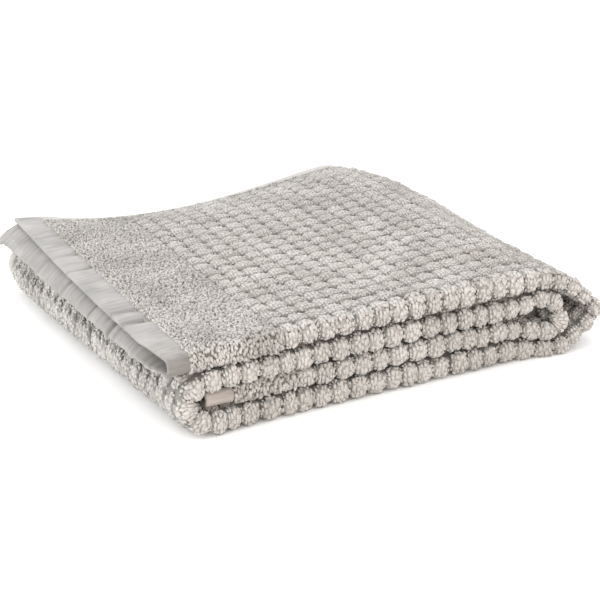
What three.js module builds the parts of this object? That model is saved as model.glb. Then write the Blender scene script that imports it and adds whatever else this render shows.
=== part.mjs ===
// A folded hand towel: one length of terry cloth, 507 by 1045 mm, with a sewn hem at each end.
//
// It is folded in half along its length, so that the long fold faces the front and the two
// selvedges lie together at the back. The doubled strip is then wrapped round itself into four
// panels. Going along the cloth from its top hem: the top panel, the outer right fold, the bottom
// panel, the left fold, the third panel, the inner right fold, and the second panel, which ends
// in the other hem, tucked inside the left fold.
//
// Millimetres. +X runs along the front to the right, +Y from the front to the back, +Z up.
// The origin is on the floor, in the middle of the flat underside.

import * as THREE from "three";

// Driving dimensions.
const FRONT = 240; // length of the front edge on the floor, between the two side folds
const DEPTH = 250; // from the long fold at the front to the selvedges at the back
const SELVEDGE_THICK = 2.6; // the bare woven edge, without pile
const SELVEDGE_TAPER = 34; // depth over which the pile thins out to the selvedge

// How thick one ply is with its pile, how far apart the middles of the two plies lie, and how far
// the long fold's nose stands before the front edge's line.
const TERRY = { thick: 5.5, apart: 6.1, nose: 5 };
const FULL = { thick: 5.6, apart: 6.5, nose: 4 };
const PLUMP = { thick: 6.2, apart: 8.4, nose: 4 };
const SNUG = { thick: 5.3, apart: 5.8, nose: 4 };
const FLOOR = { thick: 6.0, apart: 6.9, nose: 4 };
const CORNER = { thick: 5.6, apart: 6.4, nose: 7 };
const BENT = { thick: 4.7, apart: 5.3, nose: 4 };
const PRESSED = { thick: 4.1, apart: 4.6, nose: 4 };
const TIGHT = { thick: 3.7, apart: 4.2, nose: 4 };
const HEM = { thick: 2.9, apart: 5.2, nose: 3.5 };
const OPEN_HEM = { thick: 2.6, apart: 7.8, nose: 2.5 };
const HEM_SEAM = { thick: 3.4, apart: 7.2, nose: 3 };
const THIN_END = { thick: 4.6, apart: 6.2, nose: 4 };
const TUCKED_SEAM = { thick: 4.4, apart: 5.2, nose: 4 };
const FLOOR_MIDDLE = (FLOOR.thick + FLOOR.apart) / 2; // height of the bottom panel's middle

// The middle line of the doubled cloth, seen from the front. x is measured from the left end of
// the front edge, and z from the floor.
const PATH = [
  { at: "top hem, edge", x: -20, z: 39.9, ply: OPEN_HEM },
  { at: "top hem, seam", x: -2, z: 40.9, ply: HEM_SEAM },
  { at: "top plain band, left", x: 8, z: 41.5, ply: THIN_END },
  { at: "top panel, left", x: 45, z: 42.6, ply: TERRY },
  { at: "top panel, middle", x: 100, z: 43.9, ply: FULL },
  { at: "top panel, rise", x: 150, z: 44.8, ply: PLUMP },
  { at: "top panel, crest", x: 190, z: 45.3, ply: PLUMP },
  { at: "top panel, right", x: 213, z: 45.1, ply: FULL },
  { at: "outer fold, shoulder", x: 228, z: 43.2, ply: BENT },
  { at: "outer fold, upper side", x: 240, z: 37.4, ply: BENT },
  { at: "outer fold, side", x: 250, z: 29.9, ply: TIGHT },
  { at: "outer fold, near the end", x: 257, z: 22.6, ply: TIGHT },
  { at: "outer fold, end", x: 257, z: 17.4, ply: TIGHT },
  { at: "outer fold, lower side", x: 251, z: 13.9, ply: TIGHT },
  { at: "outer fold, foot", x: 241, z: 8.8, ply: BENT },
  { at: "bottom panel, right", x: 229, z: 4.4, ply: PRESSED },
  { at: "bottom panel, right of middle", x: 203, z: 6.2, ply: FULL },
  { at: "bottom panel, middle", x: 185, z: FLOOR_MIDDLE, ply: FLOOR },
  { at: "bottom panel, left of middle", x: 50, z: FLOOR_MIDDLE, ply: FLOOR },
  { at: "bottom panel, left", x: 12, z: FLOOR_MIDDLE, ply: CORNER },
  { at: "left fold, foot", x: 3.2, z: 7.2, ply: CORNER },
  { at: "left fold, lower side", x: -4.0, z: 11.2, ply: CORNER },
  { at: "left fold, end", x: -7.2, z: 17.2, ply: TERRY },
  { at: "left fold, upper side", x: -5.2, z: 23.4, ply: TERRY },
  { at: "left fold, shoulder", x: 1.6, z: 27.8, ply: TERRY },
  { at: "third panel, left", x: 14, z: 29.5, ply: TERRY },
  { at: "third panel, left of middle", x: 45, z: 30.3, ply: TERRY },
  { at: "third panel, middle", x: 100, z: 31.8, ply: SNUG },
  { at: "third panel, right of middle", x: 182, z: 31.8, ply: SNUG },
  { at: "third panel, rise", x: 204, z: 32.3, ply: BENT },
  { at: "inner fold, shoulder", x: 218, z: 34.3, ply: TIGHT },
  { at: "inner fold, upper side", x: 225.6, z: 32.9, ply: TIGHT },
  { at: "inner fold, side", x: 229.6, z: 27.0, ply: BENT },
  { at: "inner fold, end", x: 230.0, z: 20.8, ply: BENT },
  { at: "inner fold, lower side", x: 226.4, z: 15.9, ply: TIGHT },
  { at: "second panel, right", x: 219, z: 15.0, ply: TIGHT },
  { at: "second panel, fall", x: 203, z: 18.0, ply: BENT },
  { at: "second panel, right of middle", x: 182, z: 19.4, ply: FULL },
  { at: "second panel, middle", x: 100, z: 19.5, ply: FULL },
  { at: "second panel, left", x: 45, z: 18.7, ply: BENT },
  { at: "tucked hem, seam", x: 24, z: 18.3, ply: TUCKED_SEAM },
  { at: "tucked hem, bare", x: 17, z: 18.2, ply: HEM },
  { at: "tucked hem, edge", x: 4.4, z: 18.2, ply: HEM },
];

// How the loose stack gives way. Reaches are the half width at which a bell falls to a third.
const NOSE_SQUARE = 3; // power of the nose's outline: 2 is round, more is squarer
const SAG = { x: 90, left: 123, right: 145, share: 0.25, shape: 1.4, from: 178, power: 1.6 };
const SLIP = { most: 16, from: 40, power: 1.3, high: 43 };
const SLIP_LOW = { left: 29, right: 0, from: 130, to: 225 }; // the height where slipping starts
const PUFF = { x: 205, reach: 34, share: 0.06, in: [8, 48], out: [190, 290] };
const BULGE = { x: 232, reach: 20, out: 4, depth: 70, low: 14, high: 32 };
const RIGHT_SWELL = { y: 160, reach: 55, out: 4, from: 200, to: 240 };
const RIGHT_CORNER = { from: 190, in: 22, left: 190, right: 260 };
const LEFT_CORNER = { from: 185, in: 4, left: -12, right: 30, low: 30, high: 35 };
const HEM_PULL = { in: 4, depth: 13, left: -19, right: 0, low: 30, high: 34 };

// How finely the surface is divided.
const MAX_STEP = 24; // longest step along the cloth
const MAX_TURN = THREE.MathUtils.degToRad(17); // largest turn in one step
const DEPTH_SHARES = [0, 0.1, 0.28, 0.48, 0.68, 0.8, 0.89, 0.95, 1];
const NOSE_STEPS = 6;

const smooth = (value, from, to) => THREE.MathUtils.smoothstep(value, from, to);
const mix = THREE.MathUtils.lerp;
const bell = (value, middle, reach) => Math.exp(-(((value - middle) / reach) ** 2));

// The share by which the stack is squeezed at a place on its plan: it falls to the selvedges,
// most in the middle of the back edge.
function sag(x, y) {
  const across = (x - SAG.x) / (x < SAG.x ? SAG.left : SAG.right);
  const dip = Math.cos((Math.min(Math.abs(across), 1) * Math.PI) / 2) ** SAG.shape;
  const back = Math.max(0, (y - SAG.from) / (DEPTH - SAG.from)) ** SAG.power;
  return SAG.share * dip * back;
}

// How far to the right the layers lie at a place: the upper ones slip towards the back, the right
// folds swell, both back corners are rounded, and the top hem is drawn in at the long fold.
function shift(x, y, z) {
  const slipped = Math.max(0, (y - SLIP.from) / (DEPTH - SLIP.from)) ** SLIP.power;
  const low = mix(SLIP_LOW.left, SLIP_LOW.right, smooth(x, SLIP_LOW.from, SLIP_LOW.to));
  const slip = SLIP.most * slipped * smooth(z, low, SLIP.high);
  const swell = RIGHT_SWELL.out * bell(y, RIGHT_SWELL.y, RIGHT_SWELL.reach);
  const cut = (corner) => Math.max(0, (y - corner.from) / (DEPTH - corner.from)) ** 2 * corner.in;
  const right = cut(RIGHT_CORNER) * smooth(x, RIGHT_CORNER.left, RIGHT_CORNER.right);
  const below = 1 - smooth(z, LEFT_CORNER.low, LEFT_CORNER.high);
  const left = cut(LEFT_CORNER) * (1 - smooth(x, LEFT_CORNER.left, LEFT_CORNER.right)) * below;
  const top = smooth(z, HEM_PULL.low, HEM_PULL.high);
  const edge = 1 - smooth(x, HEM_PULL.left, HEM_PULL.right);
  const pull = HEM_PULL.in * bell(y, 0, HEM_PULL.depth) * edge * top;
  return slip + swell * smooth(x, RIGHT_SWELL.from, RIGHT_SWELL.to) - right + left + pull;
}

// Moves a point of the evenly folded towel to where it lies in the loosely folded one.
function settle({ x, y, z }) {
  const inside = smooth(y, ...PUFF.in) * (1 - smooth(y, ...PUFF.out));
  const puff = PUFF.share * bell(x, PUFF.x, PUFF.reach) * inside;
  const low = 1 - smooth(z, BULGE.low, BULGE.high);
  const nearFront = 1 - smooth(y, 0, BULGE.depth);
  const bulge = BULGE.out * bell(x, BULGE.x, BULGE.reach) * low * nearFront;
  const height = z * (1 + puff) * (1 - sag(x, y));
  const right = x + shift(x, y, z);
  return new THREE.Vector3(right - FRONT / 2, y - bulge - DEPTH / 2, Math.max(0, height));
}

// Stations along the cloth: where the middle line is, which way is out, and the two plies' sizes.
function stations() {
  const points = PATH.map((row) => new THREE.Vector3(row.x, 0, row.z));
  const line = new THREE.CatmullRomCurve3(points, false, "centripetal");
  const last = PATH.length - 1;
  const list = [];
  for (let row = 0; row < last; row++) {
    const turn = line.getTangent(row / last).angleTo(line.getTangent((row + 1) / last));
    const length = points[row].distanceTo(points[row + 1]);
    const steps = Math.ceil(Math.max(length / MAX_STEP, turn / MAX_TURN));
    for (let step = row === 0 ? 0 : 1; step <= steps; step++) {
      const share = step / steps;
      const at = (row + share) / last;
      const tangent = line.getTangent(at);
      const [here, next] = [PATH[row].ply, PATH[row + 1].ply];
      list.push({
        middle: line.getPoint(at),
        out: new THREE.Vector3(-tangent.z, 0, tangent.x),
        apart: mix(here.apart, next.apart, share),
        thick: mix(here.thick, next.thick, share),
        nose: mix(here.nose, next.nose, share),
      });
    }
  }
  return list;
}

// A point on the nose's outline, for a nose that reaches one unit out and one unit forward.
function noseOutline(angle) {
  const squared = (value) => Math.sign(value) * Math.abs(value) ** (2 / NOSE_SQUARE);
  return [squared(Math.cos(angle)), -squared(Math.sin(angle))];
}

// The doubled cloth's section at one station, from the outer ply's selvedge round the long fold
// to the inner ply's selvedge: how far out of the middle line and how deep each point lies. side
// is 1 for the cloth's face outside the long fold and -1 for the face inside it.
function section({ apart, thick, nose }, side) {
  const reach = (y) => apart / 2 + (side * clothThickness(thick, y)) / 2;
  const turnAt = (apart + thick) / 2 - nose;
  const straight = DEPTH_SHARES.map((share) => mix(turnAt, DEPTH, share));
  const outer = straight.toReversed().map((y) => ({ out: reach(y), y }));
  const inner = straight.map((y) => ({ out: -reach(y), y }));
  const turn = [];
  for (let step = 1; step < NOSE_STEPS; step++) {
    const [out, forward] = noseOutline((step / NOSE_STEPS) * Math.PI);
    turn.push({ out: reach(0) * out, y: turnAt + reach(0) * forward });
  }
  return [...outer, ...turn, ...inner];
}

function clothThickness(thick, y) {
  const bare = smooth(y, DEPTH - SELVEDGE_TAPER, DEPTH);
  return mix(thick, Math.min(thick, SELVEDGE_THICK), bare);
}

// One face of the cloth, as rows of points from the top hem to the tucked one.
function skin(side) {
  return stations().map((station) =>
    section(station, side).map(({ out, y }) => {
      const point = station.middle.clone().addScaledVector(station.out, out);
      point.y = y;
      return settle(point);
    }),
  );
}

// Joins the two faces at the hems and the selvedges into one closed body.
function closedCloth(outside, inside) {
  const rows = outside.length;
  const columns = outside[0].length;
  const positions = [...outside.flat(), ...inside.flat()].flatMap((p) => p.toArray());
  const outer = (row, column) => row * columns + column;
  const inner = (row, column) => rows * columns + row * columns + column;
  const indices = [];
  const quad = (a, b, c, d) => indices.push(a, b, c, a, c, d);
  for (let row = 0; row + 1 < rows; row++) {
    for (let column = 0; column + 1 < columns; column++) {
      const [r, c] = [row + 1, column + 1];
      quad(outer(row, column), outer(row, c), outer(r, c), outer(r, column));
      quad(inner(row, column), inner(r, column), inner(r, c), inner(row, c));
    }
    quad(outer(row, 0), outer(row + 1, 0), inner(row + 1, 0), inner(row, 0));
    const end = columns - 1;
    quad(outer(row, end), inner(row, end), inner(row + 1, end), outer(row + 1, end));
  }
  for (let column = 0; column + 1 < columns; column++) {
    const [c, end] = [column + 1, rows - 1];
    quad(outer(0, column), inner(0, column), inner(0, c), outer(0, c));
    quad(outer(end, column), outer(end, c), inner(end, c), inner(end, column));
  }
  const geometry = new THREE.BufferGeometry();
  geometry.setAttribute("position", new THREE.Float32BufferAttribute(positions, 3));
  geometry.setIndex(indices);
  geometry.computeVertexNormals();
  return geometry;
}

function towel() {
  const terry = new THREE.MeshStandardMaterial({ color: 0xc9c4bb, roughness: 0.95, metalness: 0 });
  const mesh = new THREE.Mesh(closedCloth(skin(1), skin(-1)), terry);
  mesh.name = "towel";
  return mesh;
}

const foldedTowel = new THREE.Group();
foldedTowel.add(towel());

export default foldedTowel;
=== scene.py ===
"""A hand towel of pale stone cotton terry, folded into a loose stack of four doubled panels.

The cloth is laid out flat first, as lengths along it and across it in millimetres, and every piece
is then laid into the same folds as the CAD solid. What comes out is in metres: +X to the right
along the front, +Y to the back, +Z up from the floor.
"""

import math

import bpy
import numpy as np
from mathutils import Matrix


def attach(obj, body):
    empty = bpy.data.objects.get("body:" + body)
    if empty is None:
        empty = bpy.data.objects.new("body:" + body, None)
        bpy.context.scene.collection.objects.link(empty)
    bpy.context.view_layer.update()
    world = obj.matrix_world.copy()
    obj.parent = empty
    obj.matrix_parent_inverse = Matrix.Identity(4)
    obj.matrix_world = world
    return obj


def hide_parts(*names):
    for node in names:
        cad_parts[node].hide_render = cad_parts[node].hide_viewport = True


MM = 0.001

# The view of the photograph: the lens and the sensor in millimetres, the camera's place in metres.
LENS = 100.0
SENSOR = 36.0
CAMERA_AT = (-0.46181, -0.82776, 0.36977)
CAMERA_DOWN = math.radians(20.766)
CAMERA_ASIDE = math.radians(29.852)

# The towel as cut and sewn, with its flat size in metres, and the folded stack's front between its
# bends and its depth.
HALF_WIDTH = 253.5
FRONT = 240.0
DEPTH = 250.0

# A selvedge has no pile: how thick the cloth is there, and how far in it starts to thin.
SELVEDGE_THICK = 2.6
SELVEDGE_TAPER = 34.0

# One ply's thickness with its pile, the distance between the middles of the two plies, and how far
# the long fold's nose stands before the front edge's line.
TERRY = (5.5, 6.1, 5.0)
FULL = (5.6, 6.5, 4.0)
PLUMP = (6.2, 8.4, 4.0)
SNUG = (5.3, 5.8, 4.0)
FLOOR = (6.0, 6.9, 4.0)
CORNER = (5.6, 6.4, 7.0)
BENT = (4.7, 5.3, 4.0)
PRESSED = (4.1, 4.6, 4.0)
TIGHT = (3.7, 4.2, 4.0)
HEM = (2.9, 5.2, 3.5)
OPEN_HEM = (2.6, 7.8, 2.5)
HEM_SEAM = (3.4, 7.2, 3.0)
THIN_END = (4.6, 6.2, 4.0)
TUCKED_SEAM = (4.4, 5.2, 4.0)
FLOOR_MIDDLE = (FLOOR[0] + FLOOR[1]) / 2

# The middle line of the doubled cloth seen from the front, from the top hem to the tucked one.
PATH = [
    (-20, 39.9, OPEN_HEM),
    (-2, 40.9, HEM_SEAM),
    (8, 41.5, THIN_END),
    (45, 42.6, TERRY),
    (100, 43.9, FULL),
    (150, 44.8, PLUMP),
    (190, 45.3, PLUMP),
    (213, 45.1, FULL),
    (228, 43.2, BENT),
    (240, 37.4, BENT),
    (250, 29.9, TIGHT),
    (257, 22.6, TIGHT),
    (257, 17.4, TIGHT),
    (251, 13.9, TIGHT),
    (241, 8.8, BENT),
    (229, 4.4, PRESSED),
    (203, 6.2, FULL),
    (185, FLOOR_MIDDLE, FLOOR),
    (50, FLOOR_MIDDLE, FLOOR),
    (12, FLOOR_MIDDLE, CORNER),
    (3.2, 7.2, CORNER),
    (-4, 11.2, CORNER),
    (-7.2, 17.2, TERRY),
    (-5.2, 23.4, TERRY),
    (1.6, 27.8, TERRY),
    (14, 29.5, TERRY),
    (45, 30.3, TERRY),
    (100, 31.8, SNUG),
    (182, 31.8, SNUG),
    (204, 32.3, BENT),
    (218, 34.3, TIGHT),
    (225.6, 32.9, TIGHT),
    (229.6, 27.0, BENT),
    (230, 20.8, BENT),
    (226.4, 15.9, TIGHT),
    (219, 15, TIGHT),
    (203, 18, BENT),
    (182, 19.4, FULL),
    (100, 19.5, FULL),
    (45, 18.7, BENT),
    (24, 18.3, TUCKED_SEAM),
    (17, 18.2, HEM),
    (4.4, 18.2, HEM),
]
NOSE_SQUARE = 3.0
HEM_NOSE_SQUARE = 2.1
STEPS_PER_ROW = 24
NOSE_STEPS = 400

# How the top hem rests: its lower ply comes up against the upper one, which is drawn back and up.
# Its back corner stands a little higher, and near the long fold it arches over its open mouth. Each
# pair of places, here and below, says where a move begins and where it is full or has ended.
HEM_RISE_ALONG = (0, 4, 9, 18, 28, 45, 60)
HEM_RISE = (0, 3.4, 6.2, 5.2, 3.2, 1.2, 0)
HEM_RISE_ACROSS = (3, 50)
HEM_DRAWN_BACK, HEM_LIFTED = 2.5, 2.0
HEM_LIFT_ALONG, HEM_LIFT_ACROSS = (6, 60), (12, 50)
CORNER_LIFTED, CORNER_ALONG, CORNER_Y = 1.2, (0, 70), (150, DEPTH)
MOUTH_LIFTED, MOUTH_AT, MOUTH_WIDE, MOUTH_ALONG = 2.8, 20.0, 12.0, (0, 40)

# How the loose stack slips to the right towards its back, most at its top.
SLIP_MOST, SLIP_FROM, SLIP_POWER = 16.0, 40.0, 1.3
SLIP_HIGH, SLIP_LOW, SLIP_LOW_X = 43.0, 29, (130, 225)

# The right-hand bend swells out past half-way back. Both bends draw in at the back, the left-hand one
# below the top hem alone. At the front the top hem is pulled in.
SWELL_MOST, SWELL_AT, SWELL_REACH, SWELL_X = 4, 160, 55, (200, 240)
RIGHT_IN, RIGHT_FROM, RIGHT_X = 22, 190, (190, 260)
LEFT_IN, LEFT_FROM, LEFT_X, LEFT_Z = 4, 185, (-12, 30), (30, 35)
PULLED_IN, PULLED_IN_REACH, PULLED_IN_X, PULLED_IN_Z = 4, 13, (-19, 0), (30, 34)

# The share by which the stack puffs up near the right-hand bend, and how far its foot bulges
# forward there.
PUFF_SHARE, PUFF_AT, PUFF_REACH = 0.06, 205, 34
PUFF_Y, PUFF_END_Y = (8, 48), (190, 290)
BULGE_MOST, BULGE_AT, BULGE_REACH = 4, 232, 20
BULGE_Z, BULGE_Y = (14, 32), (0, 70)

# The share of its height that the stack loses where its back edge sags, and how it fades out.
SAG_SHARE, SAG_AT, SAG_TO_LEFT, SAG_TO_RIGHT, SAG_SIDES = 0.25, 90, 123, 145, 1.4
SAG_FROM, SAG_BACK = 178, 1.6

# The map for baking keeps this share of itself clear along each side.
BAKE_MARGIN = 0.01

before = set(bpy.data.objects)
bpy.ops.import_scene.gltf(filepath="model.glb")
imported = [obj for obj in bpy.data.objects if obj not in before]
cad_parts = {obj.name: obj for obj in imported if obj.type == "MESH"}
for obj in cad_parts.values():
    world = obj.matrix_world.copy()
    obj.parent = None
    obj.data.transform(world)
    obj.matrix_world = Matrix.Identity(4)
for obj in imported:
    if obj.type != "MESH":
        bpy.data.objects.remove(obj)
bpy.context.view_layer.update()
bpy.ops.object.select_all(action="DESELECT")


def smooth(value, low, high):
    """A soft step from 0 at low to 1 at high."""
    share = np.clip((value - low) / (high - low), 0, 1)
    return share * share * (3 - 2 * share)


def mix(first, second, share):
    return first + (second - first) * share


def bell(value, middle, reach):
    """A soft hump that is 1 at its middle and nearly gone two reaches away."""
    return np.exp(-(((value - middle) / reach) ** 2))


def middle_line():
    """The middle line in fine steps: columns of length, x, z, direction, thick, apart and nose."""
    points = np.array([row[:2] for row in PATH], float)
    plies = np.array([row[2] for row in PATH], float)
    lengths = np.r_[0, np.cumsum(np.linalg.norm(np.diff(points, axis=0), axis=1))]
    held = np.vstack([2 * points[0] - points[1], points, 2 * points[-1] - points[-2]])
    share = np.linspace(0, 1, STEPS_PER_ROW, endpoint=False)[:, None]
    rows = []
    for row in range(len(points) - 1):
        before, start, end, after = held[row : row + 4]
        gaps = [np.linalg.norm(step) ** 0.5 for step in (start - before, end - start, after - end)]
        leave = (start - before) / gaps[0] - (end - before) / (gaps[0] + gaps[1])
        leave = (leave + (end - start) / gaps[1]) * gaps[1]
        arrive = (end - start) / gaps[1] - (after - start) / (gaps[1] + gaps[2])
        arrive = (arrive + (after - end) / gaps[2]) * gaps[1]
        square = -3 * start + 3 * end - 2 * leave - arrive
        cube = 2 * start - 2 * end + leave + arrive
        place = start + leave * share + square * share**2 + cube * share**3
        heading = leave + 2 * square * share + 3 * cube * share**2
        heading /= np.linalg.norm(heading, axis=1, keepdims=True)
        length = mix(lengths[row], lengths[row + 1], share)
        rows.append(np.hstack([length, place, heading, mix(plies[row], plies[row + 1], share)]))
    end = np.r_[lengths[-1], points[-1], heading[-1], plies[-1]]
    return np.vstack([*rows, end])


def nose_outline(square):
    """The long fold's nose in fine steps from its tip to its side: length, out and forward."""
    angle = np.linspace(math.pi / 2, 0, NOSE_STEPS)
    out = np.abs(np.cos(angle)) ** (2 / square)
    forward = np.abs(np.sin(angle)) ** (2 / square)
    out[0] = forward[-1] = 0
    steps = np.hypot(np.diff(out), np.diff(forward))
    return np.r_[0, np.cumsum(steps)], out, forward


LINE = middle_line()
CLOTH_LENGTH = LINE[-1, 0]
NOSE = nose_outline(NOSE_SQUARE)
HEM_NOSE = nose_outline(HEM_NOSE_SQUARE)


def towards_back(y, start):
    """The share of the way from a start to the back edge, 0 before it."""
    return np.maximum(0, y - start) / (DEPTH - start)


def sag(x, y):
    """The share of its height that the stack loses at a place."""
    across = (x - SAG_AT) / np.where(x < SAG_AT, SAG_TO_LEFT, SAG_TO_RIGHT)
    dip = np.cos(np.minimum(np.abs(across), 1) * math.pi / 2) ** SAG_SIDES
    return SAG_SHARE * dip * towards_back(y, SAG_FROM) ** SAG_BACK


def shift(x, y, z):
    """How far a point of the stack moves to the right."""
    low = mix(SLIP_LOW, 0, smooth(x, *SLIP_LOW_X))
    slip = SLIP_MOST * towards_back(y, SLIP_FROM) ** SLIP_POWER * smooth(z, low, SLIP_HIGH)
    swell = SWELL_MOST * bell(y, SWELL_AT, SWELL_REACH) * smooth(x, *SWELL_X)
    right = RIGHT_IN * towards_back(y, RIGHT_FROM) ** 2 * smooth(x, *RIGHT_X)
    left = LEFT_IN * towards_back(y, LEFT_FROM) ** 2
    left = left * (1 - smooth(x, *LEFT_X)) * (1 - smooth(z, *LEFT_Z))
    pull = PULLED_IN * bell(y, 0, PULLED_IN_REACH)
    pull = pull * (1 - smooth(x, *PULLED_IN_X)) * smooth(z, *PULLED_IN_Z)
    return slip + swell - right + left + pull


def settled(x, y, z):
    """Moves points of the evenly folded towel to where they lie in the loose stack, in metres."""
    puff = PUFF_SHARE * bell(x, PUFF_AT, PUFF_REACH)
    puff = puff * smooth(y, *PUFF_Y) * (1 - smooth(y, *PUFF_END_Y))
    bulge = BULGE_MOST * bell(x, BULGE_AT, BULGE_REACH)
    bulge = bulge * (1 - smooth(z, *BULGE_Z)) * (1 - smooth(y, *BULGE_Y))
    height = np.maximum(0, z * (1 + puff) * (1 - sag(x, y)))
    right = x + shift(x, y, z)
    return np.stack([right - FRONT / 2, y - bulge - DEPTH / 2, height], axis=-1) * MM


def laid(along, across, off, face=1, nose_line=NOSE):
    """Where points of the flat cloth lie once it is folded.

    along is from the top hem's edge, and across from the long fold, positive on the outer ply. off
    is the height over the cloth's outer face, or over its inner one where face is -1.
    """
    x, z, head_x, head_z, thick, apart, nose = (
        np.interp(along, LINE[:, 0], column) for column in LINE[:, 1:].T
    )
    turn_at = (apart + thick) / 2 - nose
    lengths, outs, forwards = nose_line
    half_turn = lengths[-1] * apart / 2
    run = np.maximum(0, np.abs(across) - half_turn) / (HALF_WIDTH - half_turn)
    y = mix(turn_at, DEPTH, run)
    bare = smooth(y, DEPTH - SELVEDGE_TAPER, DEPTH)
    thick = mix(thick, np.minimum(thick, SELVEDGE_THICK), bare)
    reach = apart / 2 + face * thick / 2 + off
    turned = np.abs(across) / half_turn * lengths[-1]
    out = np.sign(across) * reach * np.interp(turned, lengths, outs)
    forward = reach * np.interp(turned, lengths, forwards)
    upper = smooth(across, *HEM_LIFT_ACROSS) * (1 - smooth(along, *HEM_LIFT_ALONG))
    rise = smooth(-across, *HEM_RISE_ACROSS) * np.interp(along, HEM_RISE_ALONG, HEM_RISE)
    corner = CORNER_LIFTED * smooth(y, *CORNER_Y) * (1 - smooth(along, *CORNER_ALONG))
    mouth = MOUTH_LIFTED * bell(across, MOUTH_AT, MOUTH_WIDE)
    mouth = mouth * (1 - smooth(along, *MOUTH_ALONG))
    place = settled(x - head_z * out, y - forward, z + head_x * out)
    place[..., 0] += HEM_DRAWN_BACK * upper * MM
    place[..., 2] += (HEM_LIFTED * upper + rise + corner + mouth) * MM
    return place


def active_edit(select=None):
    """Goes into edit mode on the active object with only the chosen faces selected."""
    bpy.ops.object.mode_set(mode="OBJECT")
    mesh = bpy.context.object.data
    for kind in (mesh.vertices, mesh.edges, mesh.polygons):
        kind.foreach_set("select", np.zeros(len(kind), bool))
    if select:
        for face in mesh.polygons:
            face.select = select(face)
    bpy.ops.object.mode_set(mode="EDIT")
    bpy.ops.mesh.select_mode(type="FACE")


def numbers(collection, name, width, kind=np.float32):
    """One property of all of a mesh's parts, with a row for each part where width is over 1."""
    values = np.empty(len(collection) * width, kind)
    collection.foreach_get(name, values)
    return values.reshape(-1, width) if width > 1 else values


def taken_off(shape):
    """A modelled shape's points, corners and face sizes. The object itself goes."""
    mesh = shape.data
    points = numbers(mesh.vertices, "co", 3).astype(float)
    corners = numbers(mesh.loops, "vertex_index", 1, np.int32)
    sizes = numbers(mesh.polygons, "loop_total", 1, np.int32)
    bpy.data.objects.remove(shape)
    return points, corners, sizes


def piece(name, flat, points, corners, sizes, material, height=None):
    """Makes a mesh object of folded points, with the flat cloth as its UV maps.

    height is the light painted into the colour, from 0 at the foot of the pile, where shade is
    painted darkest, to 1 at the top of a loop. On the ground and the hems it is 1 where they are
    open to the light, and lower where shade is painted on them.
    """
    mesh = bpy.data.meshes.new(name)
    mesh.vertices.add(len(points))
    mesh.vertices.foreach_set("co", points.astype(np.float32).ravel())
    mesh.loops.add(len(corners))
    mesh.loops.foreach_set("vertex_index", corners.astype(np.int32))
    mesh.polygons.add(len(sizes))
    starts = np.r_[0, np.cumsum(sizes)[:-1]]
    mesh.polygons.foreach_set("loop_start", starts.astype(np.int32))
    mesh.update(calc_edges=True)
    mesh.validate()
    mesh.shade_smooth()
    cloth = mesh.uv_layers.new(name="cloth")
    cloth.uv.foreach_set("vector", (flat[corners] * MM).astype(np.float32).ravel())
    low, high = flat.min(0), flat.max(0)
    baked = mesh.uv_layers.new(name="OFBake")
    spread = BAKE_MARGIN + (1 - 2 * BAKE_MARGIN) * (flat[corners] - low) / (high - low)
    baked.uv.foreach_set("vector", spread.astype(np.float32).ravel())
    if height is not None:
        pile = mesh.attributes.new("painted_light", "FLOAT", "POINT")
        pile.data.foreach_set("value", height.astype(np.float32))
    mesh.materials.append(material)
    made = bpy.data.objects.new(name, mesh)
    bpy.context.collection.objects.link(made)
    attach(made, "root")
    return made


# The camera stands where the photograph was taken from.
camera_data = bpy.data.cameras.new("camera")
camera_data.lens = LENS
camera_data.sensor_width = SENSOR
camera_data.clip_start = 0.01
camera = bpy.data.objects.new("camera", camera_data)
camera.location = CAMERA_AT
camera.rotation_euler = (math.pi / 2 - CAMERA_DOWN, 0, -CAMERA_ASIDE)
bpy.context.collection.objects.link(camera)
bpy.context.scene.camera = camera
bpy.context.scene.view_settings.view_transform = "Standard"


def linear(code):
    """A colour given as an sRGB hex value, as Blender's linear numbers."""
    shares = [int(code[start : start + 2], 16) / 255 for start in (0, 2, 4)]
    return [s / 12.92 if s <= 0.04045 else ((s + 0.055) / 1.055) ** 2.4 for s in shares] + [1]


def add(tree, kind, inputs, **settings):
    """Adds one node. inputs gives each socket its value, or the socket that it is linked from."""
    made = tree.nodes.new(kind)
    for name, value in settings.items():
        setattr(made, name, value)
    for socket, value in inputs.items():
        if isinstance(value, bpy.types.NodeSocket):
            tree.links.new(value, made.inputs[socket])
        else:
            made.inputs[socket].default_value = value
    return made


def new_material(name):
    material = bpy.data.materials.new(name)
    material.use_nodes = True
    material.node_tree.nodes.clear()
    return material, material.node_tree


def finish_material(tree, shader):
    output = tree.nodes.new("ShaderNodeOutputMaterial")
    tree.links.new(shader.outputs[0], output.inputs["Surface"])


def per_millimetre(size):
    """A texture's scale for features of this size in millimetres, on coordinates in metres."""
    return 1 / (size * MM)


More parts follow.
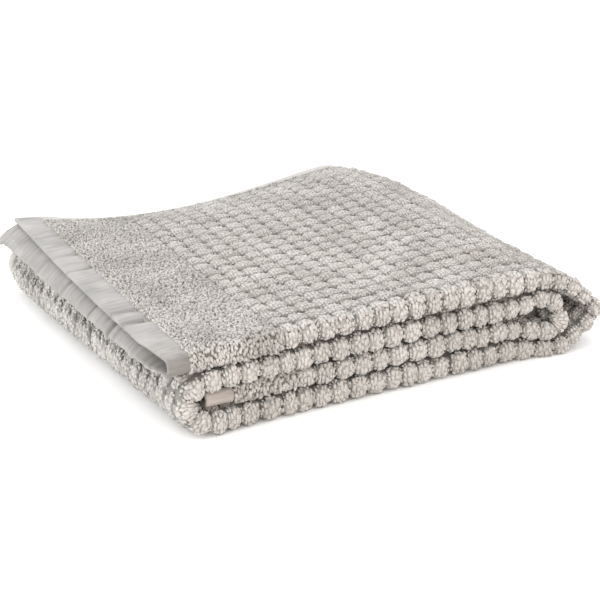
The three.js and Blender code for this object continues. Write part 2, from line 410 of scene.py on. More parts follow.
def cotton(name, pale, deep, patch, yarn, depth, shaded=0.0, drawn_out=1.0):
    """Soft spun cotton: yarn-fine light and dark, and broad faint patches where it lies flatter.

    patch, yarn and depth, the relief of the yarns, are in millimetres. shaded is the share of
    painted shade: how far the colour goes to the painted dark where the painted light is lowest,
    at the foot of the pile, in creases and in a hem's mouth. drawn_out is how many times longer
    than wide the yarns show along the cloth, on its own flat map.
    """
    material, tree = new_material(name)
    place = add(tree, "ShaderNodeTexCoord", {}).outputs["Object"]
    along_yarns = place
    if drawn_out > 1:
        flat_map = add(tree, "ShaderNodeUVMap", {}, uv_map="cloth")
        along_yarns = add(
            tree,
            "ShaderNodeMapping",
            {"Vector": flat_map.outputs[0], "Scale": (1 / drawn_out, 1, 1)},
        ).outputs[0]
    patches = add(
        tree,
        "ShaderNodeTexNoise",
        {"Vector": place, "Scale": per_millimetre(patch), "Detail": 2.0, "Roughness": 0.5},
    )
    yarns = add(
        tree,
        "ShaderNodeTexNoise",
        {"Vector": along_yarns, "Scale": per_millimetre(yarn), "Detail": 3.0, "Roughness": 0.6},
    )
    shade = add(
        tree,
        "ShaderNodeMath",
        {0: patches.outputs["Fac"], 1: yarns.outputs["Fac"]},
        operation="ADD",
    )
    range_of_shade = add(
        tree,
        "ShaderNodeMapRange",
        {"Value": shade.outputs[0], "From Min": 0.7, "From Max": 1.3},
    )
    colour = add(
        tree,
        "ShaderNodeMix",
        {"Factor": range_of_shade.outputs[0], "A": linear(deep), "B": linear(pale)},
        data_type="RGBA",
    ).outputs["Result"]
    # Painted shade: the colour goes towards the painted dark where the painted light on the mesh is
    # low.
    if shaded:
        height = add(tree, "ShaderNodeAttribute", {}, attribute_name="painted_light")
        share = add(
            tree,
            "ShaderNodeMapRange",
            {
                "Value": height.outputs["Fac"],
                "From Min": 0.1,
                "From Max": 0.9,
                "To Min": shaded,
                "To Max": 0.0,
            },
        )
        colour = add(
            tree,
            "ShaderNodeMix",
            {"Factor": share.outputs[0], "A": colour, "B": linear(PAINTED_SHADE_COLOUR)},
            data_type="RGBA",
        ).outputs["Result"]
    relief = add(
        tree,
        "ShaderNodeBump",
        {"Height": yarns.outputs["Fac"], "Strength": 0.6, "Distance": depth * MM},
    )
    shader = add(
        tree,
        "ShaderNodeBsdfPrincipled",
        {
            "Base Color": colour,
            "Normal": relief.outputs[0],
            "Roughness": 0.95,
            "IOR": 1.53,
            "Specular IOR Level": 0.15,
            "Sheen Weight": 0.25,
            "Sheen Roughness": 0.6,
        },
    )
    finish_material(tree, shader)
    return material


# The painted shade's colour: the dark that the foot of the pile, a crease and the mouth of a hem
# are painted towards, standing in for the shade that falls there.
PAINTED_SHADE_COLOUR = "48433D"

# Looped pile of soft ring-spun yarn: matt and finely speckled, dark between its loops, where
# shade is also painted at their foot. Yarn of an assumed 0.4 mm is too fine to show, so its
# speckle is drawn at 1.3 mm.
terry_pile = cotton("ring_spun_cotton_terry", "C6C3BE", "A09C96", 28, 1.3, 0.5, shaded=0.75)

# The plain weave that the loops stand in: smooth and even, pale where it is bare at a selvedge,
# with shade painted darker the deeper it lies under the pile. Its threads are too fine to show,
# so they are drawn at 0.8 mm.
terry_ground = cotton("woven_cotton_ground", "AFABA5", "9B968F", 28, 0.8, 0.3, shaded=0.6)

# The flat-woven ends turned as hems: fine lines of yarn across the hem, with painted shade in its
# creases, inside its fold and under the top hem's nose. The threads are too fine to show, so the
# lines are drawn 1.5 mm wide.
hem_cloth = cotton(
    "flat_woven_cotton_hem", "9E9B98", "797774", 20, 1.5, 0.4, shaded=0.7, drawn_out=9
)

# The same cloth at the tucked end in a copy a little warmer and lighter: painted warm light that
# stands for the warm light falling on it there.
warm_lit_hem = cotton(
    "flat_woven_cotton_hem_painted_warm_light", "ABA39C", "8A837D", 20, 1.5, 0.4, shaded=0.7, drawn_out=9
)

# Twisted thread: a little smoother and paler than the cloth that it is sewn through. Its twist is
# too fine to show, so it is drawn at 0.5 mm.
thread = cotton("spun_sewing_thread", "ADAAA5", "94908B", 20, 0.5, 0.1)

# The pile's blocks, as woven: their pitch along and across, the groove that the columns are counted
# from, and the half sizes of a block's foot, which reaches under its neighbours' feet.
COLUMN_PITCH = 11.03
ROW_PITCH = 10.7
FIRST_GROOVE = 147.1
BLOCK_HALF = np.array([6.5, 5.7])
ROWS_EACH_SIDE = 23

# How far a block's loops stand over the CAD solid's face, and how much more on the long fold.
BLOCK_TOP, FRONT_PROUD = 0.6, 0.6

# Where along the cloth the blocks begin and end, where across it the pile ends, and how far inside
# that the last blocks' middles stay.
BLOCKS_FROM, BLOCKS_TO = 69.9, 985.4
SELVEDGE_FROM = 243.0
BLOCKS_CLEAR = 4

# How deep the ground lies under the blocks, the plain bands and the hems, and how wide a hem is.
PILE_DEEP, BAND_DEEP, HEM_DEEP = 2.1, 1.3, 0.8
HEM_WIDE = 16.5

# How square a block's plan is, where 2 would be round, how flat its crown is and how round its rim.
# Its cushion is a grid of this many cells each way, drawn out towards the rim.
SQUARE, CROWN_FLAT, RIM_ROUND = 2.2, 2.1, 0.6
BLOCK_CELLS, CELLS_OUTWARD = 5, 0.75

# Where the block rows leave a groove on the long fold, and where they centre a block on it. The
# top panel's first row stands tall over that groove, and its rows lie a little to the front.
GROOVE_UNTIL, BLOCK_SINCE = 233.0, 320.0
ROWS_FORWARD = 1.2
FRONT_ROW_TALLER = 1.65

# The blocks on the fold are narrower, with clefts between them. The ones next to them are smaller
# and lie back, where the fold pulls them flat.
FRONT_NARROWER = 0.94
BESIDE_FRONT_BACK, BESIDE_FRONT_SMALLER = 1.0, 0.82

# The floor panel's columns are pushed along by this much where the cloth was pulled.
PULLED_MOST, PULLED_AT, PULLED_REACH = 10.5, 393.0, 38.0

# The flat map shows the cloth's back face this far aside.
BACK_FACE_ASIDE = 600


def ground_depth(along, across):
    """How far the woven ground lies under the pile's surface."""
    from_end = np.minimum(along, CLOTH_LENGTH - along)
    blocks = smooth(along, BLOCKS_FROM - 4, BLOCKS_FROM + 2)
    blocks = blocks * (1 - smooth(along, BLOCKS_TO - 2, BLOCKS_TO + 4))
    pile = 1 - smooth(np.abs(across), SELVEDGE_FROM - 2, SELVEDGE_FROM + 3)
    hem = 1 - smooth(from_end, HEM_WIDE - 1, HEM_WIDE + 1)
    return mix(mix(BAND_DEEP, PILE_DEEP, blocks) * pile, HEM_DEEP, hem)


def spaced(stops):
    """Lines from stop to stop, with the step that each stop gives up to the next."""
    lines = [np.array([stops[0][0]])]
    for (start, step), (end, _) in zip(stops, stops[1:]):
        count = max(1, math.ceil((end - start) / step))
        lines.append(np.linspace(start, end, count + 1)[1:])
    return np.concatenate(lines)


def cloth_layer(lines_along, lines_across):
    """A flat cloth with a face and a back: its places along and across, and which side is which."""
    bpy.ops.mesh.primitive_grid_add(
        x_subdivisions=len(lines_along) - 1, y_subdivisions=len(lines_across) - 1, size=2
    )
    cloth = bpy.context.object
    solid = cloth.modifiers.new("two_faces", "SOLIDIFY")
    solid.thickness = 1
    solid.offset = 0
    bpy.ops.object.modifier_apply(modifier=solid.name)
    points, corners, sizes = taken_off(cloth)
    x = np.rint((points[:, 0] + 1) / 2 * (len(lines_along) - 1)).astype(int)
    y = np.rint((points[:, 1] + 1) / 2 * (len(lines_across) - 1)).astype(int)
    return lines_along[x], lines_across[y], np.sign(points[:, 2]), corners, sizes


def make_ground():
    """The woven cloth itself, between the hems, with more lines where it bends."""
    end = CLOTH_LENGTH
    along_lines = spaced(
        [(13, 5), (60, 2), (72, 6), (215, 3), (345, 6), (530, 3), (595, 6), (765, 3),
         (860, 6), (end - 13, 5)]
    )
    half = spaced([(0, 0.9), (9, 2), (17, 5.5), (236, 2.5), (HALF_WIDTH, 1)])
    across_lines = np.r_[-half[:0:-1], half]
    along, across, face, corners, sizes = cloth_layer(along_lines, across_lines)
    off = np.where(face > 0, -ground_depth(along, across), 0)
    points = laid(along, across, off, face)
    flat = np.stack([along, across + BACK_FACE_ASIDE * (face < 0)], axis=-1)
    # Painted shade on the ground's face: darker the deeper it lies under the pile; its back is left
    # light.
    bare = np.where(face > 0, 1 - np.clip(-off, 0, 1), 1)
    return piece("terry_cloth", flat, points, corners, sizes, terry_ground, bare)


# The deepest creases of the top hem, as in the photograph: place across, half width and depth.
DEEP_CREASES = [
    (54, 3.0, 2.6),
    (70, 3.0, 1.9),
    (144, 2.4, 1.7),
    (170, 2.8, 1.4),
    (206, 2.4, 0.9),
    (-70, 1.7, 2.4),
    (-99, 2.0, 1.3),
    (-141, 2.0, 1.2),
    (-62, 1.6, 1.2),
    (-182, 2.0, 0.9),
]

# The small creases between them: how many, how far apart, and their half widths and depths.
SMALL_CREASES, SMALL_APART, SMALL_BEFORE = 74, (4.5, 9.5), 8
SMALL_WIDE, SMALL_DEEP = (0.9, 1.8), (0.15, 0.55)

# How much of a crease is left at the hem's edge and on its lower ply, where it goes the other way.
# A low wave lies under the creases, and the long fold's nose is smooth.
EDGE_CREASED, LOWER_CREASED = 0.25, -0.9
WAVE_TALL, WAVE_LONG, WAVE_WANDERS, WANDER_LONG = 0.25, 2.7, 1.3, 11
NOSE_SMOOTH = 6

# How much painted shade darkens a crease, and the depth from which it is as dark as it gets.
CREASE_SHADE, CREASE_FULL = 0.55, 2.0

# How much painted shade darkens the hem deep inside its fold, on the lower ply there and under
# the top hem's nose, and how far that shade reaches.
MOUTH_SHADE, LOWER_SHADE, NOSE_SHADE = 0.75, 0.25, 0.65
MOUTH_REACH, NOSE_REACH, NOSE_AT = 25.0, 9.0, -4

# A hem's rounded edges, and how far it stands over the ground's faces.
HEM_ROUND, HEM_PROUD = 0.9, 0.05

# The hem's folded-in end: its middle from the hem's edge and across, the half length of its
# straight sides, its round end's radius, and its ridge.
TUCK_AT = (8.5, 245.5)
TUCK_STRAIGHT = 5.0
TUCK_ROUND, TUCK_SOFT, TUCK_HIGH = 3.4, 0.9, 0.8

# The row of stitches that holds a hem: from its edge, from stitch to stitch, and each one's halves,
# height, how far it sinks in, and how much it strays and turns.
STITCHES_AT, STITCH_PITCH = 15.3, 3.2
STITCH_HALF_WIDE, STITCH_HALF_LONG, STITCH_TALL = 0.28, 1.25, 0.35
STITCH_SUNK, STITCH_STRAYS, STITCH_TURNS = 0.02, 0.1, 0.06


def hem_creases():
    """Where the seam gathers a hem: each crease's place across, its half width and its depth."""
    random = np.random.default_rng(5)
    apart = random.uniform(*SMALL_APART, SMALL_CREASES)
    places = np.cumsum(apart) - HALF_WIDTH - SMALL_BEFORE
    small = [(at, random.uniform(*SMALL_WIDE), random.uniform(*SMALL_DEEP)) for at in places]
    return np.array(small + DEEP_CREASES)


def hem_valleys(across):
    """How deep a hem's creases are at its seam."""
    place, wide, deep = hem_creases().T
    return (deep * bell(across[:, None], place, wide)).sum(1)


def hem_puckers(from_edge, across):
    """The ripples of a gathered hem, deepest at its seam and nearly gone at its edge.

    The lower ply shows its other face, so there the creases go down the other way.
    """
    valleys = hem_valleys(across)
    at_seam = mix(EDGE_CREASED, 1, smooth(from_edge, 1, HEM_WIDE - 1))
    at_seam = np.where(across < 0, LOWER_CREASED, at_seam)
    wander = WAVE_WANDERS * np.sin(across / WANDER_LONG)
    wave = WAVE_TALL * np.sin(across / WAVE_LONG + wander)
    return (wave - valleys) * at_seam * smooth(np.abs(across), 0, NOSE_SMOOTH)


def end_tuck(from_edge, across):
    """The folded-in end of the hem, which shows through as a rounded ridge beside the selvedge."""
    beyond = np.maximum(0, np.abs(from_edge - TUCK_AT[0]) - TUCK_STRAIGHT)
    distance = np.hypot(beyond, np.abs(across) - TUCK_AT[1])
    return TUCK_HIGH * bell(distance, TUCK_ROUND, TUCK_SOFT)


def make_hem(name, at_start, material):
    """One hem as a flat slab that is laid over the cloth's end, with rounded edges."""
    lines = spaced([(0, 0.25), (1, 1), (5, 2), (HEM_WIDE - 2, 1), (HEM_WIDE, 1)])
    half = spaced([(0, 0.8), (8, 1.2), (HALF_WIDTH - 1, 0.5), (HALF_WIDTH, 1)])
    across_lines = np.r_[-half[:0:-1], half]
    from_edge, across, face, corners, sizes = cloth_layer(lines, across_lines)
    edge = np.minimum.reduce([from_edge, HEM_WIDE - from_edge, HALF_WIDTH - np.abs(across)])
    rounding = HEM_ROUND * (1 - np.sqrt(1 - (1 - np.clip(edge / HEM_ROUND, 0, 1)) ** 2))
    off = hem_puckers(from_edge, across) - face * rounding + HEM_PROUD * face
    off = off + np.where(face > 0, end_tuck(from_edge, across), 0)
    along = from_edge if at_start else CLOTH_LENGTH - from_edge
    points = laid(along, across, off, face, HEM_NOSE)
    if not at_start:
        corners = turned_over(corners, sizes)
    flat = np.stack([along, across + BACK_FACE_ASIDE * (face < 0)], axis=-1)
    # Painted shade on the hem: darker in its creases, on its inner face in its mouth and on its lower
    # ply, and under the top hem's nose on its outer face.
    open_to_light = 1 - CREASE_SHADE * np.clip(hem_valleys(across) / CREASE_FULL, 0, 1)
    painted_mouth_shade = LOWER_SHADE * (across < 0) + MOUTH_SHADE * bell(across, 0, MOUTH_REACH)
    painted_nose_shade = NOSE_SHADE * bell(across, NOSE_AT, NOSE_REACH) * at_start
    open_to_light = open_to_light - np.where(face < 0, painted_mouth_shade, painted_nose_shade)
    return piece(name, flat, points, corners, sizes, material, open_to_light)


def make_stitches(name, at_start):
    """The hem's row of stitches, each one a short raised bar of thread."""
    random = np.random.default_rng(6)
    across = np.arange(-HALF_WIDTH + 3, HALF_WIDTH - 2, STITCH_PITCH)
    number = len(across)
    from_edge = STITCHES_AT + random.normal(0, STITCH_STRAYS, number)
    off = hem_puckers(from_edge, across) - STITCH_SUNK
    half_wide = np.full(number, STITCH_HALF_WIDE)
    half_long = np.full(number, STITCH_HALF_LONG)
    tall = np.full(number, STITCH_TALL)
    centre = np.stack([from_edge, across, off], axis=-1)
    flat_slope = np.zeros(number)
    yaw = random.normal(0, STITCH_TURNS, number)
    bars = stand_on(centre, flat_slope, flat_slope, half_wide, half_long, tall, yaw, LOOP)
    corners, sizes = copies(LOOP, bars)
    points = bars.reshape(-1, 3)
    if not at_start:
        points[:, 0] = CLOTH_LENGTH - points[:, 0]
        corners = turned_over(corners, sizes)
    place = laid(points[:, 0], points[:, 1], points[:, 2], 1, HEM_NOSE)
    return piece(name, points[:, :2], place, corners, sizes, thread)


def turned_over(corners, sizes):
    """The corners of each face in the other order, so that it faces the other way."""
    ends = np.cumsum(sizes)
    starts = ends - sizes
    place = np.arange(len(corners))
    face = np.repeat(np.arange(len(sizes)), sizes)
    return corners[starts[face] + ends[face] - 1 - place]


def crown(a, b):
    """How high a block of pile stands at a place on it, from 1 in the middle to 0 at its rim."""
    from_middle = (np.abs(a) ** SQUARE + np.abs(b) ** SQUARE) ** (1 / SQUARE)
    return np.clip(1 - from_middle**CROWN_FLAT, 0, 1) ** RIM_ROUND


def block_shape():
    """One block of pile, two units wide and one high: a grid drawn up into a closed cushion."""
    bpy.ops.mesh.primitive_grid_add(
        x_subdivisions=BLOCK_CELLS, y_subdivisions=BLOCK_CELLS, size=2
    )
    active_edit(lambda face: True)
    bpy.ops.mesh.region_to_loop()
    bpy.ops.mesh.edge_face_add()
    bpy.ops.object.mode_set(mode="OBJECT")
    points, corners, sizes = taken_off(bpy.context.object)
    plan = np.abs(points[:, :2])
    from_middle = np.maximum(plan.max(1), 1e-9)
    rounded = (plan**SQUARE).sum(1) ** (1 / SQUARE)
    points[:, :2] *= (from_middle**CELLS_OUTWARD / np.maximum(rounded, 1e-9))[:, None]
    points[:, 2] = crown(points[:, 0], points[:, 1])
    return points, corners, sizes


def loop_shape():
    """One loop of yarn as a small arch: a cube whose top is drawn together into a ridge."""
    bpy.ops.mesh.primitive_cube_add(size=2, location=(0, 0, 1))
    active_edit(lambda face: face.center.z > 1.5)
    bpy.ops.transform.resize(value=(0, 0.6, 0.5), center_override=(0, 0, 0))
    bpy.ops.mesh.select_all(action="SELECT")
    bpy.ops.mesh.remove_doubles(threshold=0.001)
    bpy.ops.mesh.normals_make_consistent(inside=False)
    bpy.ops.object.mode_set(mode="OBJECT")
    return taken_off(bpy.context.object)


def copies(shape, flat_points):
    """The corners and sizes of a shape repeated for each row of points."""
    _, corners, sizes = shape
    count, size = flat_points.shape[:2]
    steps = np.arange(count)[:, None] * size
    return (corners[None] + steps).ravel(), np.tile(sizes, count)


def stand_on(centre, slope_a, slope_b, half_wide, half_long, tall, yaw, shape):
    """Copies of a loop on sloping places: flat coordinates and heights of all their points."""
    one = np.stack([np.ones_like(slope_a), np.zeros_like(slope_a), slope_a], axis=-1)
    two = np.stack([np.zeros_like(slope_a), np.ones_like(slope_a), slope_b], axis=-1)
    one /= np.linalg.norm(one, axis=1, keepdims=True)
    two /= np.linalg.norm(two, axis=1, keepdims=True)
    up = np.cross(one, two)
    up /= np.linalg.norm(up, axis=1, keepdims=True)
    cos, sin = np.cos(yaw)[:, None], np.sin(yaw)[:, None]
    wide, long = cos * one + sin * two, cos * two - sin * one
    x, y, z = (shape[0][None, :, axis, None] for axis in range(3))
    return (
        centre[:, None]
        + x * (wide * half_wide[:, None])[:, None]
        + y * (long * half_long[:, None])[:, None]
        + z * (up * tall[:, None])[:, None]
    )


def block_places():
    """Every block's middle on the flat cloth, its half sizes and the number of its row."""
    first = round((BLOCKS_FROM - FIRST_GROOVE) / COLUMN_PITCH)
    last = round((BLOCKS_TO - FIRST_GROOVE) / COLUMN_PITCH)
    columns = FIRST_GROOVE + (np.arange(first, last) + 0.5) * COLUMN_PITCH
    columns = columns + PULLED_MOST * bell(columns, PULLED_AT, PULLED_REACH)
    half_along = BLOCK_HALF[0] * np.gradient(columns) / COLUMN_PITCH
    rows = np.arange(-ROWS_EACH_SIDE, ROWS_EACH_SIDE + 1)
    along, row = (grid.ravel() for grid in np.meshgrid(columns, rows, indexing="ij"))
    half_along = np.repeat(half_along, len(rows))
    grooved = 1 - smooth(along, GROOVE_UNTIL, BLOCK_SINCE)
    taller = FRONT_ROW_TALLER * grooved * ((row == 0) | (row == -1))
    across = (row + 0.5 * grooved) * ROW_PITCH - ROWS_FORWARD * grooved - taller
    half_across = BLOCK_HALF[1] + np.where(row == 0, taller, -taller)
    half_along = np.where(row == 0, FRONT_NARROWER * half_along, half_along)
    beside_front = (np.abs(row) == 1) & (along >= BLOCK_SINCE)
    across = across + np.where(beside_front, BESIDE_FRONT_BACK * row, 0)
    smaller = np.where(beside_front, BESIDE_FRONT_SMALLER, 1)
    half_along, half_across = half_along * smaller, half_across * smaller
    inside = np.abs(across) < SELVEDGE_FROM - BLOCKS_CLEAR
    return [part[inside] for part in (along, across, half_along, half_across, row)]


BLOCK = block_shape()
LOOP = loop_shape()
LOOP_RISE = LOOP[0][:, 2] / LOOP[0][:, 2].max()
ALONG, ACROSS, HALF_ALONG, HALF_ACROSS, ROW = block_places()


# How a block differs from its neighbours: its place along and across, its size, height and lean. It
# starts a little under the ground, and its loops stand over its own cushion.
BLOCK_STRAYS_ALONG, BLOCK_STRAYS_ACROSS = 0.18, 0.22
BLOCK_SIZES, BLOCK_HEIGHTS, BLOCK_LEANS, BLOCK_SKEW = 0.025, 0.22, 0.05, 0.05
BLOCK_UNDER, LOOPS_OVER, LOOPS_SUNK = 0.3, 0.35, 0.25

# A block's loops: the share of it that they cover, how much they stray, how steeply they may stand,
# and each one's half sizes and height with how much these differ. Towards the rim they get smaller.
# Loops of 0.4 mm yarn are too fine to show, so they are drawn about 1.5 mm wide.
LOOPS_COVER, LOOPS_STRAY_A, LOOPS_STRAY_B, LOOPS_WITHIN = 0.95, 0.025, 0.05, 0.93
LOOPS_STEEPEST, LOOPS_TURN, RIM_SMALLER = 1.6, 0.3, 0.45
LOOP_HALF_WIDE, LOOP_HALF_LONG, LOOP_TALL = (0.74, 0.08), (0.66, 0.1), (0.95, 0.25)

# Painted shade on a block: how light the cushion and a loop's foot are painted at the block's rim,
# and how much lighter in its middle.
CUSHION_LIGHT, LOOP_FOOT_LIGHT = (0.15, 0.6), (0.24, 0.6)


def crown_slopes(a, b, step=0.02):
    """How steeply a block's crown rises in both directions at a place on it."""
    along = (crown(a + step, b) - crown(a - step, b)) / (2 * step)
    across = (crown(a, b + step) - crown(a, b - step)) / (2 * step)
    return along, across


def make_blocks(name, chosen, seed, loops=(7, 7), loose=1.0):
    """Blocks of pile on the chosen places, each with its loops, more untidy where loose is more."""
    random = np.random.default_rng(seed)
    along, across = ALONG[chosen], ACROSS[chosen]
    count = len(along)
    along = along + random.normal(0, BLOCK_STRAYS_ALONG, count) * loose
    across = across + random.normal(0, BLOCK_STRAYS_ACROSS, count) * loose
    half = np.stack([HALF_ALONG[chosen], HALF_ACROSS[chosen]], axis=-1)
    half = half * random.normal(1, BLOCK_SIZES, (count, 2))
    bottom = -ground_depth(along, across) - BLOCK_UNDER
    tall = BLOCK_TOP + random.normal(0, BLOCK_HEIGHTS, count) - bottom
    tall = tall + FRONT_PROUD * (ROW[chosen] == 0)
    rise = tall[:, None] - LOOPS_OVER
    lean = random.normal(0, BLOCK_LEANS, (count, 2))
    a, b, up = (BLOCK[0][None, :, axis] for axis in range(3))
    flat = np.stack(
        [
            along[:, None] + half[:, :1] * (a + BLOCK_SKEW * b * lean[:, :1]),
            across[:, None] + half[:, 1:] * b,
            bottom[:, None] + rise * up * (1 + lean[:, :1] * a + lean[:, 1:] * b),
        ],
        axis=-1,
    )
    corners, sizes = copies(BLOCK, flat)
    points = flat.reshape(-1, 3)
    # The cushion's painted light, darkest at its rim.
    at_rim, in_middle = CUSHION_LIGHT
    painted_light = np.tile(at_rim + in_middle * BLOCK[0][:, 2], count)
    if loops:
        wide, deep = loops
        a = (np.arange(wide) * 2 + 1 - wide) / wide * LOOPS_COVER
        b = (np.arange(deep) * 2 + 1 - deep) / deep * LOOPS_COVER
        a, b = (grid.ravel()[None] for grid in np.meshgrid(a, b))
        per = a.shape[1]
        a = a + random.normal(0, LOOPS_STRAY_A, (count, per)) * loose
        a = np.clip(a, -LOOPS_WITHIN, LOOPS_WITHIN)
        b = b + random.normal(0, LOOPS_STRAY_B, (count, per)) * loose
        height = crown(a, b)
        slope_a, slope_b = crown_slopes(a, b)
        slope_a, slope_b = slope_a * rise / half[:, :1], slope_b * rise / half[:, 1:]
        centre = np.stack(
            [
                along[:, None] + half[:, :1] * a,
                across[:, None] + half[:, 1:] * b,
                bottom[:, None] + rise * height - LOOPS_SUNK,
            ],
            axis=-1,
        )
        number = count * per
        small = 1 - RIM_SMALLER * (np.abs(a) ** SQUARE + np.abs(b) ** SQUARE).ravel()
        standing = stand_on(
            centre.reshape(-1, 3),
            np.clip(slope_a, -LOOPS_STEEPEST, LOOPS_STEEPEST).ravel(),
            np.clip(slope_b, -LOOPS_STEEPEST, LOOPS_STEEPEST).ravel(),
            random.normal(*LOOP_HALF_WIDE, number) * small,
            random.normal(*LOOP_HALF_LONG, number) * small,
            random.normal(*LOOP_TALL, number) * small,
            random.normal(0, LOOPS_TURN, number) * loose,
            LOOP,
        )
        loop_corners, loop_sizes = copies(LOOP, standing)
        corners = np.r_[corners, loop_corners + len(points)]
        sizes = np.r_[sizes, loop_sizes]
        points = np.vstack([points, standing.reshape(-1, 3)])
        # A loop's painted light: its foot painted dark, darkest at the block's rim, up to light at
        # its top.
        at_rim, in_middle = LOOP_FOOT_LIGHT
        foot = at_rim + in_middle * height.ravel()[:, None]
        painted_light = np.r_[painted_light, (foot + (1 - foot) * LOOP_RISE).ravel()]
    place = laid(points[:, 0], points[:, 1], points[:, 2])
    return piece(name, points[:, :2], place, corners, sizes, terry_pile, painted_light)


# A plain band's loops: from loop to loop along and across, how much they stray, lean and turn, how
# far they sink in, and each one's half sizes and height with how much these differ. They are drawn
# coarser than real, like the blocks' loops.
BAND_PITCH_ALONG, BAND_PITCH_ACROSS = 1.3, 1.4
BAND_STRAYS, BAND_LEANS, BAND_TURNS, BAND_SUNK = 0.35, 0.25, 0.7, 0.2
BAND_HALF_WIDE, BAND_HALF_LONG, BAND_TALL = (0.5, 0.07), (0.78, 0.12), (1.8, 0.5)

# The way the loops are brushed wanders over the band in broad patches.
BRUSHED_MOST, BRUSHED_ALONG, BRUSHED_ACROSS = 1.1, 9, 17
BRUSHED_WANDERS, BRUSHED_WANDER_LONG = 1.5, 23

# Painted shade on a band's loops: how light a loop's tip is painted, differing at random from the
# least to the most, and how light its foot is, where the shade is painted darkest.
BAND_TIPS_LIGHT, BAND_FOOT_LIGHT = (0.6, 1), 0.1


def make_band(name, start, end, low, high, seed):
    """Plain terry beside a hem or a selvedge: loops that lie in all directions."""
    random = np.random.default_rng(seed)
    along = np.arange(start, end, BAND_PITCH_ALONG)
    across = np.arange(low, high, BAND_PITCH_ACROSS)
    along, across = (grid.ravel() for grid in np.meshgrid(along, across))
    number = len(along)
    along = along + random.normal(0, BAND_STRAYS, number)
    across = across + random.normal(0, BAND_STRAYS, number)
    wander = BRUSHED_WANDERS * np.sin(across / BRUSHED_WANDER_LONG)
    brushed = BRUSHED_MOST * np.sin(along / BRUSHED_ALONG + across / BRUSHED_ACROSS + wander)
    centre = np.stack([along, across, -ground_depth(along, across) - BAND_SUNK], axis=-1)
    standing = stand_on(
        centre,
        random.normal(0, BAND_LEANS, number),
        random.normal(0, BAND_LEANS, number),
        random.normal(*BAND_HALF_WIDE, number),
        random.normal(*BAND_HALF_LONG, number),
        random.normal(*BAND_TALL, number),
        brushed + random.normal(0, BAND_TURNS, number),
        LOOP,
    )
    corners, sizes = copies(LOOP, standing)
    points = standing.reshape(-1, 3)
    place = laid(points[:, 0], points[:, 1], points[:, 2])
    # Each loop's painted light, from its painted-dark foot to its tip.
    tips = random.uniform(*BAND_TIPS_LIGHT, number)
    painted_light = mix(BAND_FOOT_LIGHT, 1, LOOP_RISE * tips[:, None]).ravel()
    return piece(name, points[:, :2], place, corners, sizes, terry_pile, painted_light)


cloth = make_ground()
top_hem = make_hem("top_hem", True, hem_cloth)
tucked_hem = make_hem("tucked_hem", False, warm_lit_hem)
stitches = [make_stitches("top_stitches", True), make_stitches("tucked_stitches", False)]

# Where along the cloth the top panel ends, the right-hand bend ends, the left-hand bend lies, and
# the cloth lines the two hollows at the right.
TOP_PANEL_UNTIL, RIGHT_BEND_UNTIL = 232, 345
LEFT_BEND_FROM, LEFT_BEND_UNTIL = 530, 605
OUTER_HOLLOW, INNER_HOLLOW = (195, 350), (735, 870)

# How far across from the long fold the blocks show at the front, in the hollows and at the back,
# and which row starts the top panel's back half.
FRONT_ACROSS, HOLLOW_ACROSS, BACK_ACROSS = 14, 62, 214
TOP_BACK_ROW = 12


def between(value, low, high):
    """Where a value lies inside a range, without its ends."""
    return (value > low) & (value < high)


outer = ACROSS > 0
front = np.abs(ACROSS) < FRONT_ACROSS
back = np.abs(ACROSS) > BACK_ACROSS
on_top = ALONG < TOP_PANEL_UNTIL
top = on_top & outer & (ROW > 0) & (ROW < TOP_BACK_ROW)
top_back = on_top & outer & (ROW >= TOP_BACK_ROW)
top_front = on_top & (ROW == 0)
right_outside = ~on_top & (ALONG < RIGHT_BEND_UNTIL) & outer
left_outside = between(ALONG, LEFT_BEND_FROM, LEFT_BEND_UNTIL) & outer
underside = (ALONG >= RIGHT_BEND_UNTIL) & (ALONG <= LEFT_BEND_FROM) & outer
hollow = (between(ALONG, *OUTER_HOLLOW) & ~outer) | between(ALONG, *INNER_HOLLOW)
hollow_front = hollow & (np.abs(ACROSS) < HOLLOW_ACROSS) & ~front
shown = top | top_back | top_front | right_outside | left_outside | underside | hollow_front
front_rest = front & ~shown
back_rest = back & ~shown & ~front_rest

# Each group's seed, how many loops a block has along and across, and how untidy it is. The blocks
# on the underside have no loops, to save triangles where the towel lies on them.
blocks = [
    make_blocks("top_blocks", top, 11),
    make_blocks("top_back_blocks", top_back, 19, (7, 6)),
    make_blocks("top_front_blocks", top_front, 18, (7, 10), 1.7),
    make_blocks("right_fold_blocks", right_outside, 12, (6, 6)),
    make_blocks("left_fold_blocks", left_outside, 13, (6, 6), 3.0),
    make_blocks("underside_blocks", underside, 14, None),
    make_blocks("hollow_blocks", hollow_front, 15, (5, 6)),
    make_blocks("front_blocks", front_rest, 16, (7, 8), 1.7),
    make_blocks("back_blocks", back_rest, 17, (4, 4)),
]

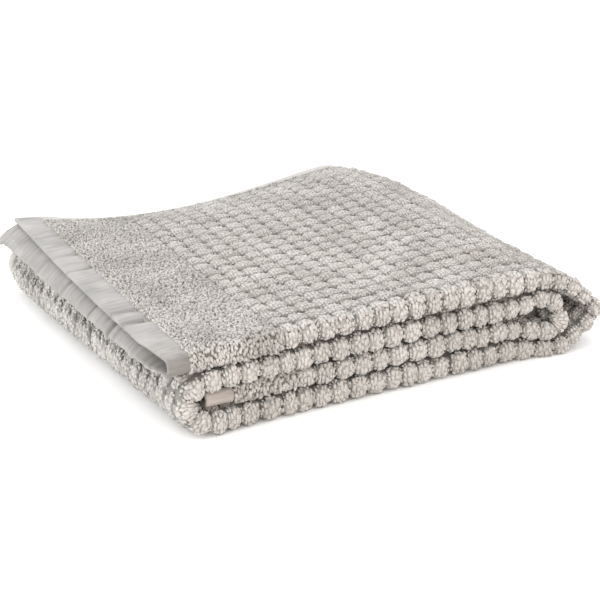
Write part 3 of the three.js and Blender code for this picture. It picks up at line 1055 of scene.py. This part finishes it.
# Each band's reach along and across the cloth, and its seed. The one along the back selvedge runs
# down over the right-hand bend.
bands = [
    make_band("top_band", HEM_WIDE - 0.6, BLOCKS_FROM, -FRONT_ACROSS, SELVEDGE_FROM, 21),
    make_band(
        "tucked_band", BLOCKS_TO, CLOTH_LENGTH - HEM_WIDE - 0.3, -FRONT_ACROSS, FRONT_ACROSS, 22
    ),
    make_band("edge_band", BLOCKS_FROM - 1, 300, 234.5, SELVEDGE_FROM, 23),
]

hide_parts("towel")

# A white table, a white room, and soft light from above, the left and the front.
bpy.ops.mesh.primitive_plane_add(size=6, location=(0, 0, -0.0003))
table = bpy.context.object
table.name = "table"
paper, tree = new_material("matt_white_table")
on_table = add(tree, "ShaderNodeTexCoord", {}).outputs["Object"]
grain = add(tree, "ShaderNodeTexNoise", {"Vector": on_table, "Scale": 40.0, "Detail": 2.0})
tone = add(
    tree,
    "ShaderNodeMix",
    {"Factor": grain.outputs["Fac"], "A": linear("F4F4F3"), "B": linear("F8F8F7")},
    data_type="RGBA",
)
finish_material(
    tree,
    add(
        tree,
        "ShaderNodeBsdfPrincipled",
        {"Base Color": tone.outputs["Result"], "Roughness": 0.9, "Specular IOR Level": 0.1},
    ),
)
table.data.materials.append(paper)

ROOM_COLOUR, ROOM_LIGHT = "FCFDFF", 1.47
world = bpy.data.worlds.new("white_room")
world.use_nodes = True
room = world.node_tree.nodes["Background"].inputs
room["Color"].default_value = linear(ROOM_COLOUR)
room["Strength"].default_value = ROOM_LIGHT
bpy.context.scene.world = world

# Each lamp's place and size in metres, its power in watts and its tint. All face the towel.
for name, place, size, power, tint in (
    ("softbox_above", (-0.25, 0.35, 1.3), 1.2, 1.8, "FFFFFF"),
    ("softbox_left", (-1.2, 0.0, 0.6), 0.9, 8, "FFFFFF"),
    ("softbox_front", (-0.1, -1.5, 0.35), 0.9, 8.5, "FFE6D2"),
):
    lamp_data = bpy.data.lights.new(name, "AREA")
    lamp_data.size = size
    lamp_data.energy = power
    lamp_data.color = linear(tint)[:3]
    lamp = bpy.data.objects.new(name, lamp_data)
    lamp.location = place
    x, y, z = place
    lamp.rotation_euler = (math.atan2(math.hypot(x, y), z), 0, math.atan2(y, x) + math.pi / 2)
    bpy.context.collection.objects.link(lamp)
